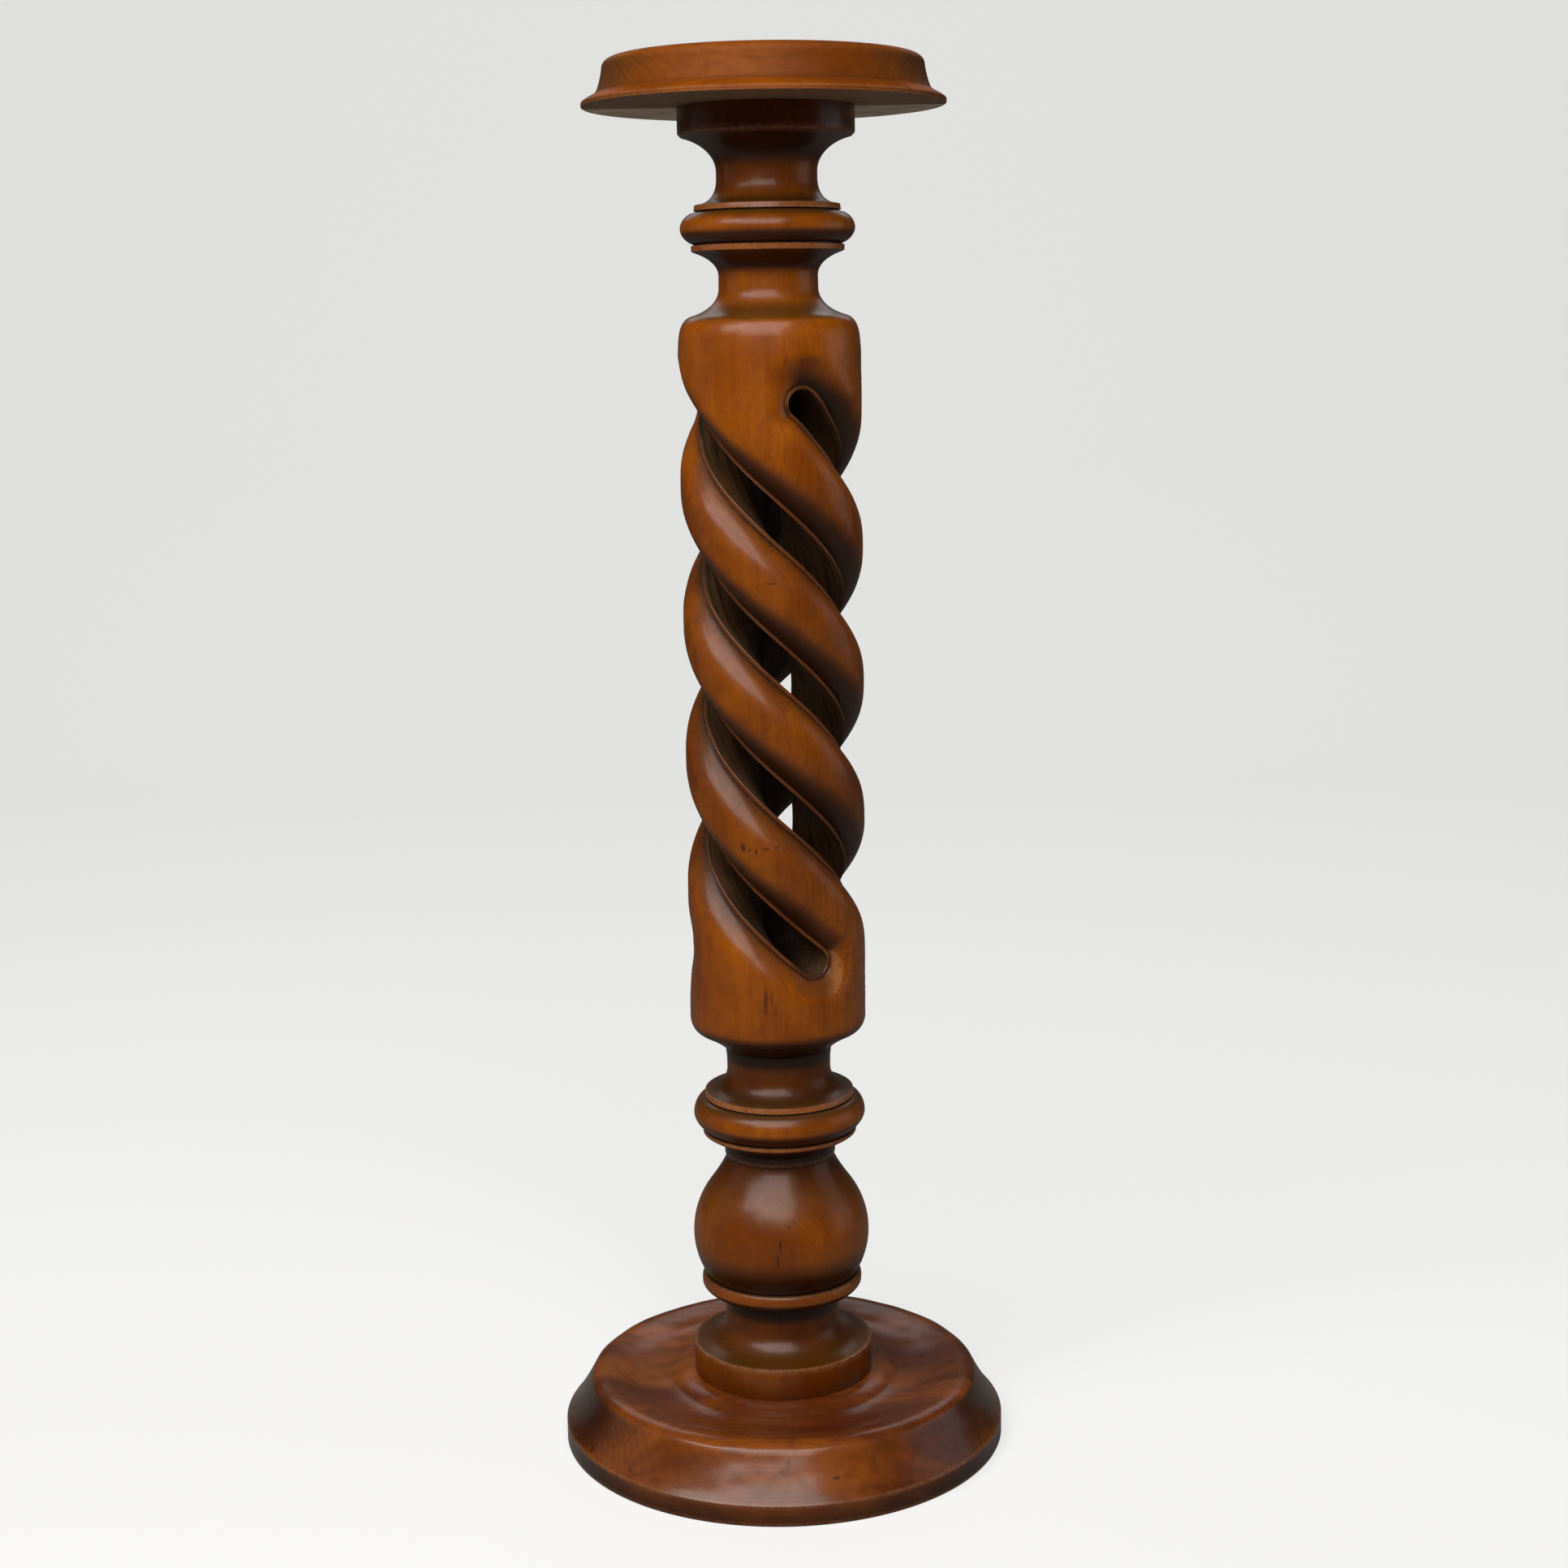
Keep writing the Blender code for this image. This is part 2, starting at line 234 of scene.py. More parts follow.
def upper_turning():
    """Head of the column, from the shaft up to the top board."""
    return outline((SHAFT_R, SHAFT_HIGH), [
        (SHAFT_R - 0.0007, 0.8095, 0, -5),
        (0.0548, 0.8254, -5, -70, 0.68),                 # shoulder
        (0.0348, 0.8446, -74, 0, 0.64),                  # hollow
        (0.0347, 0.8530),
        (0.0520, 0.8690, 0, 72, 0.64),
        (0.0534, 0.8697),
        (0.0535, 0.8735),                                # fillet
        (0.0517, 0.8738),                                # quirk
        (0.0518, 0.8745),
        (0.0609, 0.8850, 74, 0),                         # torus
        (0.0520, 0.8958, 0, -78),
        (0.0496, 0.8962),                                # quirk
        (0.0496, 0.8968),
        (0.0512, 0.8971),
        (0.0507, 0.9008),                                # fillet
        (0.0498, 0.9012),
        (0.0351, 0.9190, -86, 0, 0.64),                  # hollow
        (0.0351, 0.9235),
        (0.0594, 0.9468, 0, 76, 0.60),                   # flare
        (HIGH_COLLAR_R, HIGH_COLLAR_Z),
        (HIGH_COLLAR_R, TOP_UNDER_Z - GAP)])


def base_profile():
    return outline((BASE_RADIUS - 0.0008, -DATUM), [
        (BASE_RADIUS, -DATUM + 0.0008),
        (BASE_RADIUS, BASE_BAND),                        # upright band
        (0.1630, BASE_BAND + 0.0008),                    # sharp arris
        (0.1444, 0.0440, -43, -26),                      # long shallow hollow
        (BASE_CREST_R, BASE_CREST_Z, -26, -90),          # crest
        (0.1140, 0.0440, -97, -112),                     # dish
        (0.0950, 0.0413, -114, -90),
        (0.0835, 0.0432, -90, -60),
        (0.0738, 0.0474, -60, -80),                      # raised seat
        (BASE_SEAT_R - 0.0040, BASE_SEAT_Z)])


def top_profile():
    return outline((TOP_RADIUS - 0.0010, TOP_UNDER_Z), [
        (TOP_RADIUS - 0.0001, TOP_UNDER_Z + 0.0006),
        (TOP_RADIUS - 0.0002, TOP_UNDER_Z + 0.0032, 8, -8),   # lip
        (0.1174, TOP_UNDER_Z + 0.0082, -10, -66),
        (0.1172, TOP_UNDER_Z + 0.0087),                  # fine raised line
        (0.1164, TOP_UNDER_Z + 0.0088),
        (0.1108, TOP_UNDER_Z + 0.0272, -44, -6),         # hollow side
        (TOP_FACE_R, HEIGHT, -12, -88, 0.64)])


# ------------------------------------------------------------ twisted shaft
TURN = 2 * math.pi / LEAD
SLOPE = math.atan2(LEAD / (2 * math.pi), RIM_R)
SIN, COS = math.sin(SLOPE), math.cos(SLOPE)
SECTOR = 2 * math.pi / STRANDS
HALF_STRAND = 0.5 * SECTOR * RIM_R * SIN - SLOT_HALF - RIM


def centre_angle(z):
    """Angle of the first slot's centre line at height z: a left-hand helix."""
    return SLOT_TOP_ANGLE + (SLOT_TOP_Z - z) * TURN


def smooth(t):
    t = min(1.0, max(0.0, t))
    return t * t * (3 - 2 * t)


def between(keys, x):
    if x >= keys[0][0]:
        return keys[0][1]
    for (xa, va), (xb, vb) in zip(keys, keys[1:]):
        if x >= xb:
            t = smooth((xa - x) / (xa - xb))
            return tuple(p + (q - p) * t for p, q in zip(va, vb))
    return keys[-1][1]


DEEP = SHAFT_R - RIM_R
FLANK = (DEEP, HALF_STRAND, ROUND_POWER)
LEFT = 270 - math.degrees(SLOPE)
RIGHT = 90 - math.degrees(SLOPE)
TOP_END = [(LEFT, (0.0086, 0.0150, 2.1)), (180, (0.0056, 0.0080, 1.2)),
           (90, (0.0082, 0.0265, 1.7)), (RIGHT, (0.0095, 0.0215, 2.3))]
LOW_END = [(RIGHT, (0.0100, 0.0190, 2.4)), (0, (0.0085, 0.0105, 1.1)),
           (-45, (0.0085, 0.0150, 1.0)), (-90, (0.0085, 0.0220, 1.8)),
           (LEFT - 360, (0.0095, 0.0200, 2.3))]


def cap_heights(low, n):
    first = -math.pi / 2 + SLOPE
    hs = [SLOT_HALF * math.sin(first + (math.pi / 2 - first) * i / n)
          for i in range(n + 1)]
    if low:
        return [SLOT_LOW_Z - h for h in reversed(hs)]
    return [SLOT_TOP_Z + h for h in hs]


# the slot that runs out at the left stops a little short of the other two
SLOT_ENDS = (SLOT_LOW_Z, SLOT_LOW_Z + 0.0120, SLOT_LOW_Z)

# the slot that ends at the left was cut in deeper beside its upper end
TOP_END_2 = [(LEFT, (0.0125, 0.0200, 1.8)), (180, (0.0108, 0.0160, 1.1)), *TOP_END[2:]]
# the slot that runs out at the left below fades more slowly into the round
LOW_END_1 = [(RIGHT, (0.0100, 0.0190, 2.4)), (0, (0.0075, 0.0200, 1.3)),
             (-45, (0.0054, 0.0320, 1.3)), (-90, (0.0042, 0.0430, 1.3)),
             (LEFT - 360, (0.0078, 0.0300, 2.0))]
# the front slot's foot was cut out roughly, down to a crisp edge
LOW_END_2 = [(RIGHT, (0.0100, 0.0180, 2.2)), (10, (0.0086, 0.0100, 1.15)),
             (-45, (0.0084, 0.0128, 1.10)), (-80, (0.0078, 0.0142, 1.10)),
             (LEFT - 360, (0.0095, 0.0180, 1.6))]


def relief(u, v, side, sector):
    """(depth, reach, fullness) of the relief at a point of the unrolled sheet, given
    from the centre of the slot's upper end. Round the ends it goes by direction."""
    run = (SLOT_TOP_Z - SLOT_ENDS[sector]) / SIN
    along = u * COS - v * SIN
    top_end = TOP_END_2 if sector == 2 else TOP_END
    low_end = (LOW_END, LOW_END_1, LOW_END_2)[sector]
    if along < 0:
        face = math.degrees(math.atan2(v, u))
        return between(top_end, face + 360 if face < 0 else face)
    if along > run:
        face = math.degrees(math.atan2(v + run * SIN, u - run * COS))
        return between(low_end, face - 360 if face > 90 else face)
    at_top = top_end[0][1] if side < 0 else top_end[-1][1]
    at_low = low_end[-1][1] if side < 0 else low_end[0][1]
    reach = 0.055 if side < 0 else 0.045
    out = []
    for k in range(3):
        span = 0.030 if k == 0 else reach
        value = FLANK[k]
        value -= (FLANK[k] - at_top[k]) * (1 - smooth(along / span))
        value -= (FLANK[k] - at_low[k]) * (1 - smooth((run - along) / span))
        out.append(value)
    return tuple(out)


def outline_point(z, side, sector):
    """Slot edge at height z: offset along the round (m, at RIM_R, from the centre
    line) and facing angle in degrees."""
    for low, ez in ((True, SLOT_ENDS[sector]), (False, SLOT_TOP_Z)):
        h = z - ez
        if not low and side < 0 and h > -SLOT_HALF * COS or \
           not low and side > 0 and h > SLOT_HALF * COS or \
           low and side > 0 and h < SLOT_HALF * COS or \
           low and side < 0 and h < -SLOT_HALF * COS:
            w = math.sqrt(max(0.0, SLOT_HALF ** 2 - h * h))
            face = math.degrees(math.atan2(h, side * w))
            if low and face > 90:
                face -= 360
            if not low and face < 0:
                face += 360
            return side * w + h / math.tan(SLOPE), face
    return side * SLOT_HALF / SIN, LEFT if side < 0 else RIGHT


def slot_distance(x, z, sector):
    """Distance from the slot's centre segment, on the sheet unrolled at RIM_R,
    and how far along the slot the point lies."""
    run = (SLOT_TOP_Z - SLOT_ENDS[sector]) / SIN
    px, pz = x + (SLOT_TOP_Z - z) / math.tan(SLOPE), z - SLOT_TOP_Z
    along = px * COS - pz * SIN
    t = min(run, max(0.0, along))
    return math.hypot(px - t * COS, pz + t * SIN), along


def ripple(a, b, seed):
    """Smooth, irregular wave between -1 and 1 over two lengths in metres."""
    v = 0.0
    for k in range(4):
        f = (38.0, 67.0, 121.0, 203.0)[k]
        u = math.radians(37.0 * k + 53.0 * seed)
        v += math.sin(f * (a * math.cos(u) + b * math.sin(u)) * 2.1
                      + 1.7 * seed + 2.3 * k) * (0.42, 0.30, 0.18, 0.10)[k]
    return v


# fillet along the slot: offset from the slot's edge, height over the fillet's flat
FILLET = ((0.00012, -0.00022), (0.00030, 0.00002), (0.00055, 0.00012),
          (0.00085, 0.00001), (0.00165, -0.00002), (0.00195, 0.00009),
          (0.00220, 0.00012), (0.00242, -0.00008), (0.00255, -0.00040))
WALL_STEPS = (0.0, 0.16, 0.36, 0.58, 0.78, 0.93, 1.0)


def shaft(sides, rows, rings):
    """Vertices, faces and per-vertex marks of the carved shaft."""
    half = sides // STRANDS // 2
    side_rows = 26
    cap = half + side_rows
    zs = cap_heights(True, cap)
    lo, hi = zs[-1], cap_heights(False, cap)[0]
    zs += [lo + (hi - lo) * i / rows for i in range(1, rows)]
    zs += cap_heights(False, cap)
    last = len(zs) - 1

    def border(i, side):
        if i <= half:
            return side * SECTOR / 2 * i / half, SHAFT_LOW
        if i < cap:
            f = (i - half) / (cap - half)
            return side * SECTOR / 2, SHAFT_LOW + (zs[cap] - SHAFT_LOW) * f
        if i <= last - cap:
            return side * SECTOR / 2, zs[i]
        if i < last - half:
            f = (i - (last - cap)) / (cap - half)
            return side * SECTOR / 2, zs[last - cap] + (SHAFT_HIGH - zs[last - cap]) * f
        return side * SECTOR / 2 * (last - i) / half, SHAFT_HIGH

    verts, marks, faces, walls, index = [], [], [], [], {}

    def vertex(p, mark):
        key = (round(p[0] * 1e6), round(p[1] * 1e6), round(p[2] * 1e6))
        if key not in index:
            index[key] = len(verts)
            verts.append(p)
            marks.append(mark)
        return index[key]

    def polar(r, angle, z):
        return r * math.cos(angle), r * math.sin(angle), z

    for sector in range(STRANDS):
        turn = sector * SECTOR
        for side in (-1, 1):
            grid = []
            for i, spine in enumerate(zs):
                # rows close up evenly above a slot that ends higher
                lift = SLOT_ENDS[sector] - SLOT_LOW_Z
                z = spine + lift * min(1.0, (hi - spine) / (hi - lo)) if spine < hi else spine
                x, face = outline_point(z, side, sector)
                sx = x + (SLOT_TOP_Z - z) / math.tan(SLOPE)
                depth = relief(sx, z - SLOT_TOP_Z, side, sector)[0]
                if i in (0, last):
                    face = -90 if i == 0 else 90
                nx, nz = math.cos(math.radians(face)), math.sin(math.radians(face))
                sl, sr = (outline_point(spine, e, 0)[0] for e in (-1, 1))
                heart = HEART_R * 0.5 * (sr - sl) * SIN / SLOT_HALF
                heart *= 1 - 0.42 * smooth((spine - 0.600) / 0.05)
                base = centre_angle(z) + turn
                along = (SLOT_TOP_Z - z) / SIN
                seed = sector * 2 + (side > 0)
                inner = polar(heart, centre_angle(spine) + turn + 0.5 * (sl + sr) / RIM_R
                              + side * SECTOR / 2, spine)
                flat_r = SHAFT_R - depth + 0.00018 * ripple(along, 0.0, seed)
                edge_r = flat_r + FILLET[0][1]
                outer = polar(edge_r - 0.00025, base + x / RIM_R, z)
                line = []
                deep = math.hypot(outer[0] - inner[0], outer[1] - inner[1])
                for f in WALL_STEPS:
                    p = tuple(inner[k] + (outer[k] - inner[k]) * f for k in range(3))
                    # tool-worked wall: shallow lengthwise hollows
                    dent = 0.00022 * ripple(deep * f * 2.0, along * 0.25, seed + 7)
                    dent *= math.sin(math.pi * f)
                    rough_end = 1 - smooth((z - SLOT_ENDS[sector] + 0.002) / 0.012)
                    dent += 0.00045 * rough_end * f * ripple(deep * f * 5, z * 7, seed + 3)
                    across = (-(outer[1] - inner[1]) / max(deep, 1e-6),
                              (outer[0] - inner[0]) / max(deep, 1e-6))
                    p = (p[0] + across[0] * dent, p[1] + across[1] * dent, p[2])
                    # painted shade: the wall darkens towards the heart of the slot and near its
                    # lower end
                    line.append(vertex(p, (0.0, 0.0, 0.05 + 0.60 * (1 - f) ** 1.3
                                           + 0.45 * rough_end * (1 - 0.7 * f), 0.0,
                                           along, deep * (1 - f), float(sector))))
                tip = 1 - smooth((z - SLOT_ENDS[sector] + 0.004) / 0.010)
                for t, h in FILLET:
                    tx, tz = sx + nx * t, z + nz * t
                    tx -= (SLOT_TOP_Z - tz) / math.tan(SLOPE)
                    ridge = 0.75 if 0.0002 < t < 0.0004 or 0.0021 < t < 0.0023 else 0.0
                    ridge *= 1 - 0.75 * tip
                    # the quirk outside the fillet is darkened: partly dirt, partly painted shade
                    dirt_and_shade = 0.95 if t > 0.0023 else 0.45 * tip if ridge else 0.40 + 0.35 * tip
                    line.append(vertex(polar(flat_r + h, centre_angle(tz) + turn + tx / RIM_R, tz),
                                       (0.0, 1.0, dirt_and_shade, ridge, along, t, float(sector))))
                # round of the strand, or scoop at the slot's ends
                ex, ez = sx + nx * 0.0026, z + nz * 0.0026
                ex -= (SLOT_TOP_Z - ez) / math.tan(SLOPE)
                bx, bz = border(i, side)
                bx *= RIM_R
                for k in range(1, rings + 1):
                    f = (k / rings) ** 1.6
                    px, pz = ex + (bx - ex) * f, ez + (bz - ez) * f
                    dist, run = slot_distance(px, pz, sector)
                    far = max(0.0, dist - SLOT_HALF - RIM)
                    u = px + (SLOT_TOP_Z - pz) / math.tan(SLOPE)
                    here, reach, power = relief(u, pz - SLOT_TOP_Z, side, sector)
                    here = depth + (here - depth) * min(1.0, far / 0.003)
                    cut = here * max(0.0, 1 - far / reach) ** power
                    cut += 0.00030 * math.exp(-((far - 0.00030) / 0.00028) ** 2)
                    fade = 1 - f ** 8
                    wave = 0.00022 * ripple(run, px * 0.6, seed) * min(1.0, far / 0.004)
                    quiet = smooth((pz - SHAFT_LOW) / 0.02) * smooth((SHAFT_HIGH - pz) / 0.02)
                    r = SHAFT_R - cut * fade + wave * quiet * fade
                    if k == rings:
                        r = SHAFT_R
                    # painted shade: darker close to the slot and where the cut is deep
                    dirt_and_shade = 0.85 * math.exp(-far / 0.0011) + 0.30 * max(0.0, cut / DEEP) ** 1.5
                    # darker over the twisted part than at the turned ends
                    dirt_and_shade += 0.26 * smooth((z - 0.37) / 0.06) * smooth((0.735 - z) / 0.07)
                    # painted shade on the flank that faces down beside each slot's upper end
                    if side > 0:
                        dirt_and_shade += 0.55 * math.exp(-(max(0.0, along) / 0.022) ** 2
                                                - (far / 0.0046) ** 2)
                    line.append(vertex(polar(r, centre_angle(pz) + turn + px / RIM_R, pz),
                                       (0.0, 0.0, min(1.0, dirt_and_shade), 0.0, along, far,
                                        float(sector))))
                grid.append(line)
            for low, high in zip(grid, grid[1:]):
                for k in range(len(low) - 1):
                    ring = (low[k], low[k + 1], high[k + 1], high[k])
                    ring = ring if side > 0 else ring[::-1]
                    kept = []
                    for v in ring:
                        if v not in kept:
                            kept.append(v)
                    if len(kept) > 2:
                        walls.append(k < len(WALL_STEPS) - 1)
                        faces.append(kept)
    return verts, faces, marks, walls


# ------------------------------------------------------------------- meshes
def profile_marks(pts):
    """For each point of a profile, how hollow it is and how proud an edge it is."""
    p = np.array(pts)
    s = np.concatenate([[0], np.cumsum(np.hypot(*np.diff(p, axis=0).T))])

    def at(t):
        return np.stack([np.interp(t, s, p[:, 0]), np.interp(t, s, p[:, 1])], -1)

    tangent = at(s + 0.0004) - at(s - 0.0004)
    tangent /= np.maximum(np.linalg.norm(tangent, axis=1, keepdims=True), 1e-9)
    normal = np.stack([tangent[:, 1], -tangent[:, 0]], -1)
    out = []
    for w in (0.0012, 0.0060):
        mid = 0.5 * (at(s + w) + at(s - w)) - p
        out.append((mid * normal).sum(1) / w)
    hollow = np.clip(out[0] * 1.5, 0, 1) * 0.8 + np.clip(out[1] * 1.4, 0, 1) * 0.4
    proud = np.clip(-out[0] * 2.4 - 0.15, 0, 1)
    return np.clip(hollow, 0, 1), proud


# the third mark darkens hollows, slots and flanks: partly grime, partly painted shade
MARKS = ("wall", "rim", "dirt_and_shade", "edge")


def make_object(name, verts, faces, marks, sharp=38):
    mesh = bpy.data.meshes.new(name)
    mesh.from_pydata([(v[0], v[1], v[2] + DATUM) for v in verts], [], faces)
    mesh.validate()
    marks = np.array(marks, dtype=np.float32)
    for k, mark in enumerate(MARKS):
        layer = mesh.attributes.new(mark, "FLOAT", "POINT")
        layer.data.foreach_set("value", np.ascontiguousarray(marks[:, k]))
    flow = mesh.attributes.new("flow", "FLOAT_VECTOR", "POINT")
    flow.data.foreach_set("vector", np.ascontiguousarray(marks[:, 4:7]).ravel())
    mesh.shade_smooth()
    mesh.set_sharp_from_angle(angle=math.radians(sharp))
    obj = bpy.data.objects.new(name, mesh)
    bpy.context.scene.collection.objects.link(obj)
    return obj


def lathe(pts, sides, phase, first, wobble=None):
    """Vertices, faces and marks of a turned stretch, numbered from first."""
    hollow, proud = profile_marks(pts)
    verts, marks, faces = [], [], []
    for j, (r, z) in enumerate(pts):
        for i in range(sides):
            a = phase + 2 * math.pi * i / sides
            rr, zz = (r, z) if wobble is None else wobble(r, a, z)
            verts.append((rr * math.cos(a), rr * math.sin(a), zz))
            # the hollow goes into the third mark: partly grime, partly painted shade in the
            # profile's hollows
            marks.append((0.0, 0.0, float(hollow[j]), float(proud[j]), zz, r * a, 9.0))
    for j in range(len(pts) - 1):
        for i in range(sides):
            k = (i + 1) % sides
            faces.append((first + j * sides + i, first + j * sides + k,
                          first + (j + 1) * sides + k, first + (j + 1) * sides + i))
    return verts, faces, marks


def turned_board(name, pts, sides, wobble=None):
    pts = respace(soften(pts, 0.0005), 0.0030)
    # closed underneath and above by rings that shrink to the centre
    under = [(pts[0][0] * f, pts[0][1]) for f in (0.02, 0.25, 0.5, 0.75, 0.9, 0.97)]
    over = [(pts[-1][0] * f, pts[-1][1]) for f in (0.97, 0.9, 0.75, 0.5, 0.25, 0.02)]
    pts = under + pts + over
    verts, faces, marks = lathe(pts, sides, 0.0, 0, wobble)
    n = len(pts)
    faces.append(tuple(reversed(range(sides))))
    faces.append(tuple(range((n - 1) * sides, n * sides)))
    return make_object(name, verts, faces, marks)


def bow(z):
    """The post has warped slightly to one side with age."""
    return 0.0013 * smooth((z - 0.30) / 0.35)


def column():
    verts, faces, marks, walls = shaft(SIDES, ROWS, RINGS)
    lower = respace(soften(lower_turning(), 0.0004), 0.0046)
    upper = respace(soften(upper_turning(), 0.0004), 0.0046)
    lower[-1] = (SHAFT_R, SHAFT_LOW)
    upper[0] = (SHAFT_R, SHAFT_HIGH)
    for pts, phase, closed_low in ((lower, centre_angle(SHAFT_LOW), True),
                                   (upper, centre_angle(SHAFT_HIGH), False)):
        first = len(verts)
        v, f, m = lathe(pts, SIDES, phase, first)
        verts += v
        faces += f
        marks += m
        if closed_low:
            faces.append(tuple(reversed(range(first, first + SIDES))))
        else:
            end = first + (len(pts) - 1) * SIDES
            faces.append(tuple(range(end, end + SIDES)))
    # weld the rings to the shaft
    key, remap, kept, kept_marks = {}, [], [], []
    for v, m in zip(verts, marks):
        k = (round(v[0] * 5e4), round(v[1] * 5e4), round(v[2] * 5e4))
        near = [(k[0] + a, k[1] + b, k[2] + c) for a in (0, -1, 1) for b in (0, -1, 1)
                for c in (0, -1, 1)] if abs(v[2] - SHAFT_LOW) < 1e-5 or \
            abs(v[2] - SHAFT_HIGH) < 1e-5 else None
        found = None
        if near:
            for n in near:
                if n in key:
                    found = key[n]
                    break
        if found is None:
            found = len(kept)
            kept.append((v[0] + bow(v[2]), v[1], v[2]))
            kept_marks.append(m)
            if near:
                key[k] = found
        remap.append(found)
    final, inner = [], []
    walls += [False] * (len(faces) - len(walls))
    for face, wall in zip(faces, walls):
        ring = []
        for i in face:
            j = remap[i]
            if j not in ring:
                ring.append(j)
        if len(ring) > 2:
            final.append(ring)
            inner.append(1 if wall else 0)
    obj = make_object("pedestal_column", kept, final, kept_marks, 40)
    if len(obj.data.polygons) == len(inner):
        obj.data.polygons.foreach_set("material_index", inner)
    return obj


# ---------------------------------------------------------------- materials
class Tree:
    """Short-hand for building a node tree."""

    def __init__(self, name):
        self.mat = bpy.data.materials.new(name)
        self.mat.use_nodes = True
        self.nodes = self.mat.node_tree.nodes
        self.links = self.mat.node_tree.links
        self.shader = self.nodes["Principled BSDF"]

    def put(self, value, socket):
        if isinstance(value, bpy.types.NodeSocket):
            self.links.new(value, socket)
        elif value is not None:
            socket.default_value = value

    def math(self, op, a, b=None, c=None, clamp=False):
        n = self.nodes.new("ShaderNodeMath")
        n.operation, n.use_clamp = op, clamp
        for value, socket in zip((a, b, c), n.inputs):
            self.put(value, socket)
        return n.outputs[0]

    def vec(self, op, a, b=None):
        n = self.nodes.new("ShaderNodeVectorMath")
        n.operation = op
        self.put(a, n.inputs[0])
        if op == "SCALE":
            self.put(b, n.inputs["Scale"])
        else:
            self.put(b, n.inputs[1])
        return n.outputs["Value"] if op in ("LENGTH", "DISTANCE", "DOT_PRODUCT") \
            else n.outputs[0]

    def noise(self, vector, scale, detail=2.0, rough=0.5, distortion=0.0, color=False):
        n = self.nodes.new("ShaderNodeTexNoise")
        self.put(vector, n.inputs["Vector"])
        n.inputs["Scale"].default_value = scale
        n.inputs["Detail"].default_value = detail
        n.inputs["Roughness"].default_value = rough
        n.inputs["Distortion"].default_value = distortion
        return n.outputs["Color"] if color else n.outputs["Fac"]

    def ramp(self, value, low, high, to_low=0.0, to_high=1.0, kind="SMOOTHSTEP"):
        n = self.nodes.new("ShaderNodeMapRange")
        n.interpolation_type = kind
        self.put(value, n.inputs["Value"])
        n.inputs["From Min"].default_value = low
        n.inputs["From Max"].default_value = high
        n.inputs["To Min"].default_value = to_low
        n.inputs["To Max"].default_value = to_high
        return n.outputs["Result"]

    def mix(self, factor, a, b, blend="MIX"):
        n = self.nodes.new("ShaderNodeMix")
        n.data_type, n.blend_type = "RGBA", blend
        n.clamp_factor = True
        self.put(factor, n.inputs[0])
        for value, socket in ((a, n.inputs[6]), (b, n.inputs[7])):
            if isinstance(value, tuple):
                value = (*value, 1.0)
            self.put(value, socket)
        return n.outputs[2]

    def attribute(self, name, vector=False):
        n = self.nodes.new("ShaderNodeAttribute")
        n.attribute_name = name
        return n.outputs["Vector"] if vector else n.outputs["Fac"]

    def axes(self, vector):
        n = self.nodes.new("ShaderNodeSeparateXYZ")
        self.put(vector, n.inputs[0])
        return n.outputs[0], n.outputs[1], n.outputs[2]

    def join(self, x, y, z):
        n = self.nodes.new("ShaderNodeCombineXYZ")
        for value, socket in zip((x, y, z), n.inputs):
            self.put(value, socket)
        return n.outputs[0]

    def bump(self, height, strength, distance, normal=None):
        n = self.nodes.new("ShaderNodeBump")
        n.inputs["Strength"].default_value = strength
        n.inputs["Distance"].default_value = distance
        self.put(height, n.inputs["Height"])
        self.put(normal, n.inputs["Normal"])
        return n.outputs["Normal"]


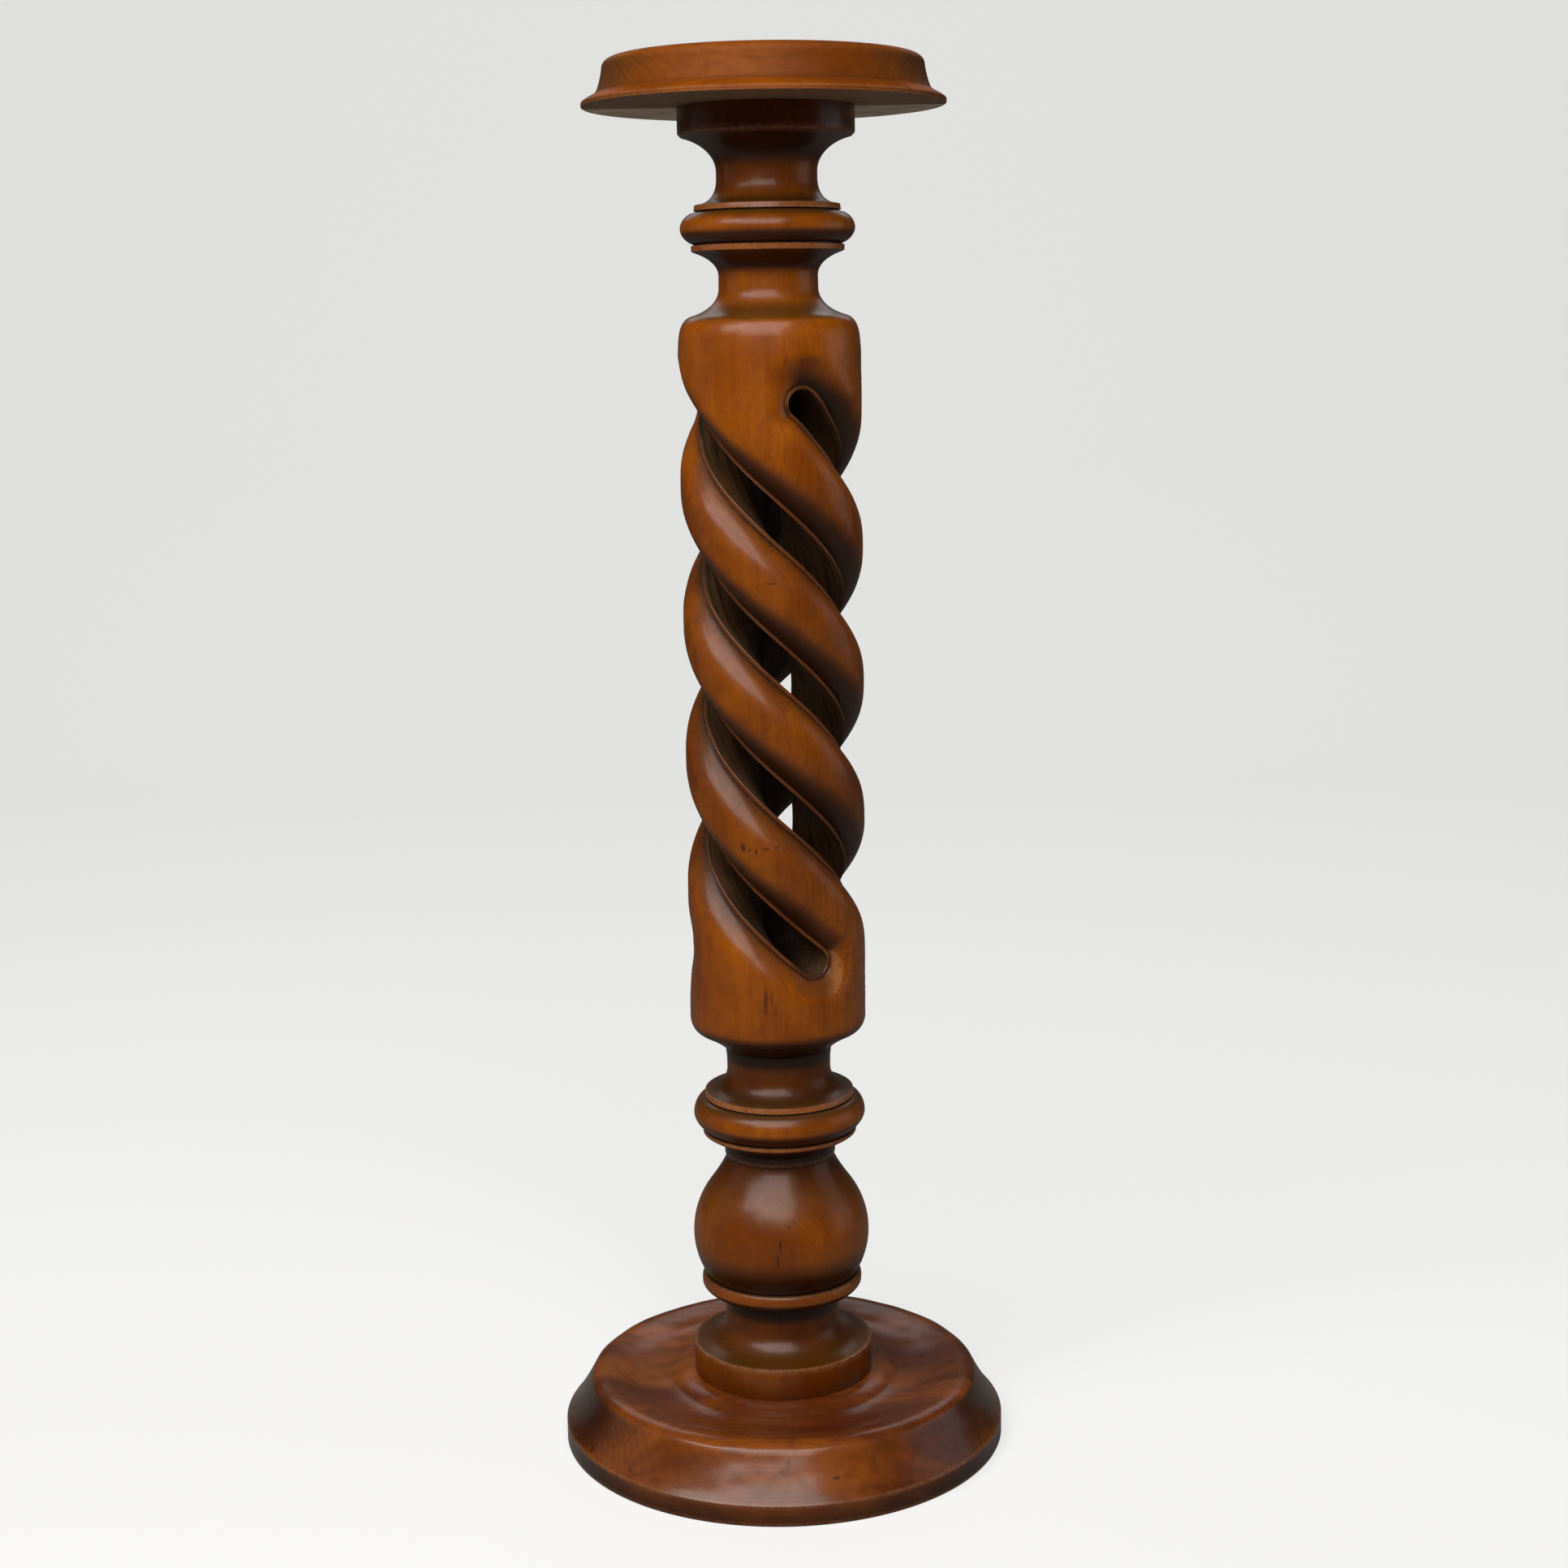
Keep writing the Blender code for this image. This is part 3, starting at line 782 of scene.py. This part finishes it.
def wood(name, grain, light, dark, end, pith, spots=(), rough=0.36, carved=False,
         ring_gap=0.0030, shaded_heights=None, raw=None, coat=0.38, spec=0.24, cloud_run=0.6):
    """Stained and varnished hardwood. grain is the axis the fibres run along."""
    t = Tree(name)
    place = t.nodes.new("ShaderNodeTexCoord").outputs["Object"]
    facing = t.nodes.new("ShaderNodeNewGeometry").outputs["Normal"]
    x, y, z = t.axes(place)
    fx, fy, fz = t.axes(facing)
    if grain == "Z":
        across_a, across_b, length, end_face = x, y, z, t.math("ABSOLUTE", fz)
    else:
        across_a, across_b, length, end_face = y, z, x, t.math("ABSOLUTE", fx)
    # the tree's own wander
    low = t.join(across_a, across_b, t.math("MULTIPLY", length, 0.35))
    wander = t.vec("SCALE", t.vec("SUBTRACT", t.noise(low, 14.0, 2.0, 0.5, color=True),
                                  (0.5, 0.5, 0.5)), 0.016)
    wx, wy, _ = t.axes(wander)
    ga, gb = t.math("ADD", across_a, wx), t.math("ADD", across_b, wy)
    radius = t.vec("LENGTH", t.join(t.math("SUBTRACT", ga, pith[0]),
                                    t.math("SUBTRACT", gb, pith[1]), 0.0))
    turns = t.math("DIVIDE", radius, ring_gap)
    ring = t.math("MULTIPLY_ADD",
                  t.math("SINE", t.math("MULTIPLY", turns, 2 * math.pi)), 0.5, 0.5)
    ring = t.math("POWER", ring, 2.2)
    uneven = t.noise(t.join(t.math("MULTIPLY", radius, 60.0), 0.0, 0.0), 3.0, 2.0)
    ring = t.math("MULTIPLY", ring, t.ramp(uneven, 0.35, 0.7, 0.3, 1.0))
    # fibres, pores and cloudiness of the stain
    fine = t.noise(t.join(t.math("MULTIPLY", ga, 1.0), t.math("MULTIPLY", gb, 1.0),
                          t.math("MULTIPLY", length, 0.035)), 950.0, 3.0, 0.6)
    broad = t.noise(t.join(ga, gb, t.math("MULTIPLY", length, 0.045)), 210.0, 3.0, 0.55)
    cloud = t.noise(t.join(across_a, across_b, t.math("MULTIPLY", length, cloud_run)),
                    19.0, 4.0, 0.55, 0.6)
    cloud_2 = t.noise(place, 88.0, 4.0, 0.65, 0.3)
    pore = t.noise(t.join(t.math("MULTIPLY", across_a, 1.0), across_b,
                          t.math("MULTIPLY", length, 0.10)), 1500.0, 1.0, 0.4)
    pore = t.ramp(pore, 0.62, 0.74)
    end_grain = t.ramp(end_face, 0.52, 0.93)

    body = t.mix(t.ramp(cloud, 0.34, 0.70), light, dark)
    body = t.mix(t.math("MULTIPLY", t.ramp(cloud_2, 0.45, 0.72), 0.45), body, dark)
    body = t.mix(end_grain, body, end)
    # figure: rings show most where the end grain is cut
    figure = t.math("MULTIPLY", ring, t.math("MULTIPLY_ADD", end_grain, 0.45, 0.20))
    body = t.mix(figure, body, tuple(0.45 * c for c in dark))
    streak = t.math("MULTIPLY_ADD", t.math("SUBTRACT", broad, 0.5), 0.34,
                    t.math("MULTIPLY", t.math("SUBTRACT", fine, 0.5), 0.32))
    tone = t.math("ADD", streak, 1.0)
    grey = t.join(tone, tone, tone)
    body = t.mix(1.0, body, grey, "MULTIPLY")
    body = t.mix(t.math("MULTIPLY", pore, 0.22), body, (0.020, 0.006, 0.002))

    dirt_and_shade, edge = t.attribute("dirt_and_shade"), t.attribute("edge")
    crumbs = t.noise(place, 240.0, 4.0, 0.65)
    if carved:
        rim = t.attribute("rim")
        body = t.mix(t.math("MULTIPLY", rim, 0.45), body, (0.110, 0.028, 0.008))
    # painted shade: surfaces that face down are darkened
    body = t.mix(t.ramp(fz, -0.10, -0.56, 0.0, 0.94), body, tuple(0.16 * c for c in dark))
    if carved:
        # painted shade: the column darkens towards the bottom
        body = t.mix(t.ramp(z, 0.36, 0.08, 0.0, 0.30), body, tuple(0.30 * c for c in dark))
        # painted shade: what faces up is darkened, most low on the column, less at the top and in
        # the lower collar's hollow
        upward_shade = t.math("MULTIPLY", t.ramp(fz, 0.16, 0.72), t.ramp(z, 0.75, 0.25, 0.12, 0.50))
        upward_shade = t.math("MULTIPLY", upward_shade, t.ramp(z, 0.084, 0.106, 0.15, 1.0))
        body = t.mix(upward_shade, body, (0.050, 0.022, 0.007))
        # painted shadow in the narrow necks, strongest below the shaft
        neck_shadow = t.math("MULTIPLY", t.ramp(t.vec("LENGTH", t.join(x, y, 0.0)), 0.056, 0.039),
                      t.ramp(z, 0.40, 0.32, 0.08, 0.58))
        body = t.mix(neck_shadow, body, tuple(0.16 * c for c in dark))
        # painted shade in the narrow places under the mouldings
        deep = None
        for centre, half in ((0.2232, 0.0092), (0.2968, 0.0088), (0.1050, 0.0090)):
            off = t.math("ABSOLUTE", t.math("SUBTRACT", z, centre))
            band = t.ramp(off, half, 0.35 * half, 0.0, 0.82)
            deep = band if deep is None else t.math("MAXIMUM", deep, band)
        deep = t.math("MULTIPLY", deep,
                      t.ramp(t.vec("LENGTH", t.join(x, y, 0.0)), 0.0530, 0.0480))
        body = t.mix(deep, body, (0.010, 0.004, 0.002))
        # painted shade on down-facing surfaces under the ball and the mouldings near the floor
        under = t.math("MULTIPLY", t.ramp(fz, -0.04, -0.40), t.ramp(z, 0.20, 0.15, 0.0, 0.75))
        body = t.mix(under, body, (0.010, 0.004, 0.002))
    # painted shade: darker above and below the given heights, under the top board, low on the
    # column and on the foot's band
    if shaded_heights:
        shade = t.math("MAXIMUM", t.ramp(z, shaded_heights[0], shaded_heights[1]), t.ramp(z, shaded_heights[2], shaded_heights[3]))
        body = t.mix(t.math("MULTIPLY", shade, 0.75), body, tuple(0.12 * c for c in dark))
    # darkens by the third mark: grime plus painted shade in hollows and slots
    dirt_shade_mix = t.math("MULTIPLY", dirt_and_shade, t.ramp(crumbs, 0.25, 0.65, 0.70, 1.05))
    body = t.mix(t.math("MULTIPLY", dirt_shade_mix, 0.90), body, (0.010, 0.004, 0.002))
    if carved:
        # painted shadow in the scoop above each slot
        for k in range(STRANDS):
            a = SLOT_TOP_ANGLE + k * SECTOR
            centre = (SHAFT_R * math.cos(a), SHAFT_R * math.sin(a), 0.7803)
            off = t.vec("DIVIDE", t.vec("SUBTRACT", place, centre), (0.0098, 0.0098, 0.0128))
            scoop_shadow = t.ramp(t.math("MULTIPLY_ADD", t.math("SUBTRACT", crumbs, 0.5), 0.35,
                                  t.vec("LENGTH", off)), 0.25, 1.0, 0.95, 0.0)
            body = t.mix(scoop_shadow, body, (0.010, 0.004, 0.002))
        # torn wood beside the foot of the front slot
        off = t.vec("DIVIDE", t.vec("SUBTRACT", place, (0.0366, -0.0520, 0.3655)),
                    (0.0122, 0.0300, 0.0168))
        torn = t.noise(place, 380.0, 3.0, 0.6)
        scar = t.ramp(t.math("MULTIPLY_ADD", t.math("SUBTRACT", torn, 0.5), 0.22,
                             t.vec("LENGTH", off)), 0.93, 1.0, 1.0, 0.0)
        scar = t.math("MULTIPLY", scar, t.math("SUBTRACT", 1.0, rim))
        chatter = t.noise(t.join(x, y, t.math("MULTIPLY", z, 2.4)), 300.0, 3.0, 0.6)
        torn_wood = t.mix(t.ramp(x, 0.032, 0.044), (0.125, 0.036, 0.008),
                          (0.470, 0.180, 0.060))
        torn_wood = t.mix(t.ramp(chatter, 0.56, 0.70), torn_wood, (0.070, 0.022, 0.010))
        body = t.mix(t.math("MULTIPLY", scar, t.ramp(x, 0.030, 0.042, 0.30, 0.72)), body,
                     torn_wood)
    worn = t.math("MULTIPLY", edge, t.ramp(crumbs, 0.33, 0.62, 0.30, 0.95))
    body = t.mix(t.math("MULTIPLY", worn, 0.70), body, (0.42, 0.175, 0.075))
    if raw:
        # bare underside, darker in front of a wavy line near the middle; its pale tone is partly
        # bare wood and partly painted light from below
        below = t.math("MULTIPLY", t.ramp(fz, -0.72, -0.90), t.ramp(z, raw, raw - 0.001))
        front_back_line = t.math("MULTIPLY_ADD", t.math("SUBTRACT", t.noise(place, 30.0, 1.0), 0.5),
                      0.006, y)
        bare = t.mix(t.ramp(front_back_line, -0.0016, 0.0016), (0.300, 0.190, 0.115),
                     (0.92, 0.78, 0.64))
        scrape = t.noise(t.join(t.math("MULTIPLY", x, 0.12), y, z), 420.0, 4.0, 0.65)
        bare = t.mix(t.ramp(scrape, 0.42, 0.66, 0.0, 0.62), bare, (0.110, 0.070, 0.045))
        body = t.mix(below, body, bare)

    pitted = None
    for spot in spots:
        # each spot: centre, radii along x, y, z, darkness
        centre, size, strength = spot
        off = t.vec("SUBTRACT", place, centre)
        off = t.vec("ADD", off, t.vec("SCALE", t.vec(
            "SUBTRACT", t.noise(place, 700.0, 3.0, 0.7, color=True), (0.5, 0.5, 0.5)),
            0.0026))
        scaled = t.vec("DIVIDE", off, size)
        near = t.ramp(t.vec("LENGTH", scaled), 0.45, 1.0, strength, 0.0)
        pitted = near if pitted is None else t.math("MAXIMUM", pitted, near)
    if pitted is not None:
        body = t.mix(pitted, body, (0.012, 0.004, 0.002))
    t.put(body, t.shader.inputs["Base Color"])

    sheen = t.math("MULTIPLY_ADD", t.math("SUBTRACT", cloud_2, 0.5), 0.30, rough)
    sheen = t.math("MULTIPLY_ADD", dirt_and_shade, 0.25, sheen)
    t.put(sheen, t.shader.inputs["Roughness"])
    t.shader.inputs["Specular IOR Level"].default_value = spec
    t.shader.inputs["Coat Weight"].default_value = coat
    t.shader.inputs["Coat Roughness"].default_value = 0.20
    t.shader.inputs["Coat IOR"].default_value = 1.5

    height = t.math("MULTIPLY_ADD", fine, 0.35, t.math("MULTIPLY", broad, 0.6))
    height = t.math("MULTIPLY_ADD", pore, -0.6, height)
    orange = t.noise(place, 130.0, 2.0, 0.5)
    height = t.math("MULTIPLY_ADD", orange, 1.1, height)
    if pitted is not None:
        height = t.math("MULTIPLY_ADD", pitted, -3.0, height)
    t.put(t.bump(height, 0.32, 0.00035), t.shader.inputs["Normal"])
    return t.mat


def slot_wood(name):
    """The sawn and gouged walls inside the slots: stained, hardly varnished."""
    t = Tree(name)
    place = t.nodes.new("ShaderNodeTexCoord").outputs["Object"]
    run, depth, which = t.axes(t.attribute("flow", True))
    wander = t.math("MULTIPLY", t.math("SUBTRACT", t.noise(place, 35.0, 2.0), 0.5), 0.004)
    depth = t.math("ADD", depth, wander)
    fine = t.noise(t.join(t.math("MULTIPLY", run, 0.03), depth, which), 900.0, 3.0, 0.6)
    band = t.noise(t.join(t.math("MULTIPLY", run, 0.06), depth, which), 260.0, 3.0, 0.6)
    cloud = t.noise(place, 34.0, 3.0, 0.55)
    body = t.mix(t.ramp(cloud, 0.3, 0.7), (0.115, 0.056, 0.022), (0.070, 0.031, 0.011))
    body = t.mix(t.ramp(band, 0.48, 0.62), body, (0.040, 0.017, 0.006))
    body = t.mix(t.math("MULTIPLY", t.ramp(fine, 0.50, 0.66), 0.8), body,
                 (0.022, 0.009, 0.003))
    # darker by the third mark: painted shade deep in the slot, with some grime
    body = t.mix(t.math("MULTIPLY", t.attribute("dirt_and_shade"), 0.85), body,
                 (0.012, 0.005, 0.002))
    t.put(body, t.shader.inputs["Base Color"])
    t.shader.inputs["Roughness"].default_value = 0.62
    t.shader.inputs["Specular IOR Level"].default_value = 0.30
    height = t.math("MULTIPLY_ADD", fine, 0.5, band)
    t.put(t.bump(height, 0.6, 0.0007), t.shader.inputs["Normal"])
    return t.mat


def stage_material(name, colour, glow):
    """Matt paint that shows evenly pale to the camera and throws little light back."""
    t = Tree(name)
    nodes, links = t.nodes, t.links
    out = nodes["Material Output"]
    seen = nodes.new("ShaderNodeLightPath").outputs["Is Camera Ray"]
    paint = nodes.new("ShaderNodeBsdfDiffuse")
    paint.inputs["Color"].default_value = (*(c * 0.42 for c in colour), 1.0)
    light = nodes.new("ShaderNodeEmission")
    light.inputs["Color"].default_value = (*colour, 1.0)
    light.inputs["Strength"].default_value = glow
    both = nodes.new("ShaderNodeAddShader")
    links.new(paint.outputs[0], both.inputs[0])
    links.new(light.outputs[0], both.inputs[1])
    dull = nodes.new("ShaderNodeBsdfDiffuse")
    dull.inputs["Color"].default_value = (0.29, 0.27, 0.245, 1.0)
    pick = nodes.new("ShaderNodeMixShader")
    links.new(seen, pick.inputs[0])
    links.new(dull.outputs[0], pick.inputs[1])
    links.new(both.outputs[0], pick.inputs[2])
    links.new(pick.outputs[0], out.inputs["Surface"])
    return t.mat


# -------------------------------------------------------------------- build
# old damage, as (centre, size along x, y, z, darkness)
COLUMN_SPOTS = (
    ((-0.0222, -0.0600, 0.4600), (0.0022, 0.004, 0.0040), 0.70),    # worm holes
    ((-0.0180, -0.0618, 0.4585), (0.0012, 0.004, 0.0016), 0.60),
    ((-0.0133, -0.0630, 0.4575), (0.0014, 0.004, 0.0026), 0.75),
    ((-0.0062, -0.0637, 0.4595), (0.0030, 0.004, 0.0018), 0.55),
    ((0.0016, -0.0635, 0.4605), (0.0026, 0.004, 0.0018), 0.50),
    ((0.0246, -0.0312, 0.9080), (0.0015, 0.003, 0.0012), 0.70),     # dent in the neck
    ((0.0062, -0.0606, 0.1797), (0.0011, 0.004, 0.0012), 0.85),     # pinhole
    ((-0.0006, -0.0640, 0.1665), (0.0010, 0.004, 0.0062), 0.75),    # crack in the ball
    ((-0.0026, -0.0650, 0.1560), (0.0009, 0.004, 0.0062), 0.70),
    ((-0.0082, -0.0642, 0.3490), (0.0022, 0.004, 0.0130), 0.42),    # dark streaks
    ((-0.0040, -0.0642, 0.3500), (0.0014, 0.004, 0.0100), 0.36),
    ((-0.0012, -0.0641, 0.3430), (0.0016, 0.004, 0.0080), 0.28),
    ((0.0001, -0.0642, 0.6457), (0.0060, 0.004, 0.0013), 0.40))
FOOT_SPOTS = (
    ((-0.1367, -0.0506, 0.0431), (0.0015, 0.0015, 0.003), 0.80),
    ((0.1046, 0.0218, 0.0440), (0.0022, 0.0014, 0.003), 0.75),
    ((0.0364, -0.1493, 0.0291), (0.0036, 0.003, 0.0012), 0.70),
    ((-0.1395, -0.0782, 0.0199), (0.0020, 0.003, 0.0042), 0.65),
    ((-0.1102, -0.1149, 0.0209), (0.0018, 0.003, 0.0030), 0.55),
    ((0.0030, -0.1493, 0.0385), (0.0022, 0.006, 0.0070), 0.45),
    ((-0.0005, -0.1493, 0.0330), (0.0050, 0.006, 0.0045), 0.35))

def hand_turned(r, a, z):
    """The foot board's slope and dish are a little uneven."""
    w = ripple(0.7 * r * math.cos(a), 1.5 * r * math.sin(a) + 2.5 * z, 5)
    slope = smooth((r - 0.130) / 0.012) * smooth((0.1622 - r) / 0.006)
    dish = smooth((r - 0.082) / 0.010) * smooth((0.132 - r) / 0.010)
    if z < BASE_BAND + 0.0010:
        return r, z
    return r, z + (0.00040 * slope + 0.00026 * dish) * w


foot = turned_board("pedestal_foot_board", base_profile(), BOARD_SIDES, hand_turned)
post = column()
head = turned_board("pedestal_top_board", top_profile(), BOARD_SIDES)

ORANGE, BROWN, OLIVE = (0.430, 0.106, 0.0012), (0.250, 0.052, 0.0010), (0.130, 0.046, 0.0020)
post.data.materials.append(wood(
    "carved_column_wood", "Z", ORANGE, BROWN, OLIVE, (0.055, 0.085), COLUMN_SPOTS, carved=True,
    shaded_heights=(0.925, 0.953, 0.080, 0.040)))
post.data.materials.append(slot_wood("column_slot_wood"))
foot.data.materials.append(wood(
    "foot_board_wood", "X", (0.340, 0.084, 0.0080), (0.105, 0.020, 0.0040),
    (0.024, 0.008, 0.003), (0.020, -0.110), FOOT_SPOTS, ring_gap=0.0042, rough=0.27, coat=0.60,
    shaded_heights=(0.090, 0.091, 0.0180, 0.0010), cloud_run=0.22))
head.data.materials.append(wood(
    "top_board_wood", "X", (0.300, 0.072, 0.0016), (0.185, 0.042, 0.0016),
    (0.150, 0.050, 0.010), (0.030, 0.870), ring_gap=0.0042, raw=0.972, rough=0.48,
    coat=0.0, spec=0.12))

for obj, node, slot in ((foot, "round_base", "foot_wood"),
                        (post, "twist_column", "column_wood"),
                        (head, "round_top", "top_wood")):
    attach(obj, "root")
    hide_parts(node)

# -------------------------------------------------------------------- stage
def sweep_floor():
    """Pale floor that curves up into a backdrop well behind the object."""
    low = -0.0002                 # clear of the foot's own underside
    line = [(-9.0, low), (2.6, low)]
    for i in range(1, 17):
        a = math.pi / 2 * i / 16
        line.append((2.6 + 1.2 * math.sin(a), 1.2 - 1.2 * math.cos(a) + low))
    line.append((3.8, 7.0))
    verts = [(x, y, z) for y, z in line for x in (-9.0, 9.0)]
    faces = [(2 * i, 2 * i + 1, 2 * i + 3, 2 * i + 2) for i in range(len(line) - 1)]
    mesh = bpy.data.meshes.new("floor_sweep")
    mesh.from_pydata(verts, [], faces)
    mesh.shade_smooth()
    obj = bpy.data.objects.new("floor_sweep", mesh)
    bpy.context.scene.collection.objects.link(obj)
    obj.data.materials.append(stage_material("floor_paint", (0.90, 0.90, 0.89), 0.74))
    return obj


sweep_floor()


def area(name, at, to, size, power, colour=(1, 1, 1)):
    light = bpy.data.lights.new(name, "AREA")
    light.shape = "RECTANGLE"
    light.size, light.size_y = size
    light.energy = power
    light.color = colour
    obj = bpy.data.objects.new(name, light)
    bpy.context.scene.collection.objects.link(obj)
    obj.location = at
    direction = np.array(to) - np.array(at)
    from mathutils import Vector
    obj.rotation_euler = Vector(direction).to_track_quat("-Z", "Y").to_euler()
    return obj


area("soft_box", (-0.3, -1.6, 2.3), (0.0, 0.0, 0.60), (2.2, 2.1), 54, (1.0, 0.98, 0.95))
area("left_box", (-1.7, -1.2, 2.3), (0.0, 0.0, 0.55), (1.0, 1.0), 14, (1.0, 0.98, 0.96))
area("left_wall", (-2.4, 0.1, 0.9), (0.0, 0.0, 0.7), (1.6, 1.6), 1.2, (0.95, 0.97, 1.0))
area("right_wall", (2.4, 0.1, 0.9), (0.0, 0.0, 0.7), (1.6, 1.6), 4, (0.95, 0.97, 1.0))
area("back_strip", (0.0, 2.4, 2.1), (0.0, 0.0, 0.3), (3.0, 0.8), 7, (0.95, 0.97, 1.0))

world = bpy.data.worlds.new("studio")
world.use_nodes = True
bpy.context.scene.world = world
background = world.node_tree.nodes["Background"]
background.inputs["Color"].default_value = (0.95, 0.97, 1.0, 1.0)
background.inputs["Strength"].default_value = 0.03
pale = world.node_tree.nodes.new("ShaderNodeBackground")
pale.inputs["Color"].default_value = (0.90, 0.90, 0.89, 1.0)
pale.inputs["Strength"].default_value = 0.85
seen = world.node_tree.nodes.new("ShaderNodeLightPath").outputs["Is Camera Ray"]
blend = world.node_tree.nodes.new("ShaderNodeMixShader")
world.node_tree.links.new(seen, blend.inputs[0])
world.node_tree.links.new(background.outputs[0], blend.inputs[1])
world.node_tree.links.new(pale.outputs[0], blend.inputs[2])
world.node_tree.links.new(blend.outputs[0], world.node_tree.nodes["World Output"].inputs["Surface"])

camera = bpy.data.cameras.new("photo_view")
camera.sensor_width = 36.0
camera.lens = 56.8244
camera.clip_start, camera.clip_end = 0.05, 60.0
eye = bpy.data.objects.new("photo_view", camera)
bpy.context.scene.collection.objects.link(eye)
eye.location = (0.00696, -1.7593, 0.8174 + DATUM)
eye.rotation_euler = (math.radians(79.5414), math.radians(0.852), math.radians(-0.1573))
bpy.context.scene.camera = eye
bpy.context.scene.view_settings.view_transform = "Standard"
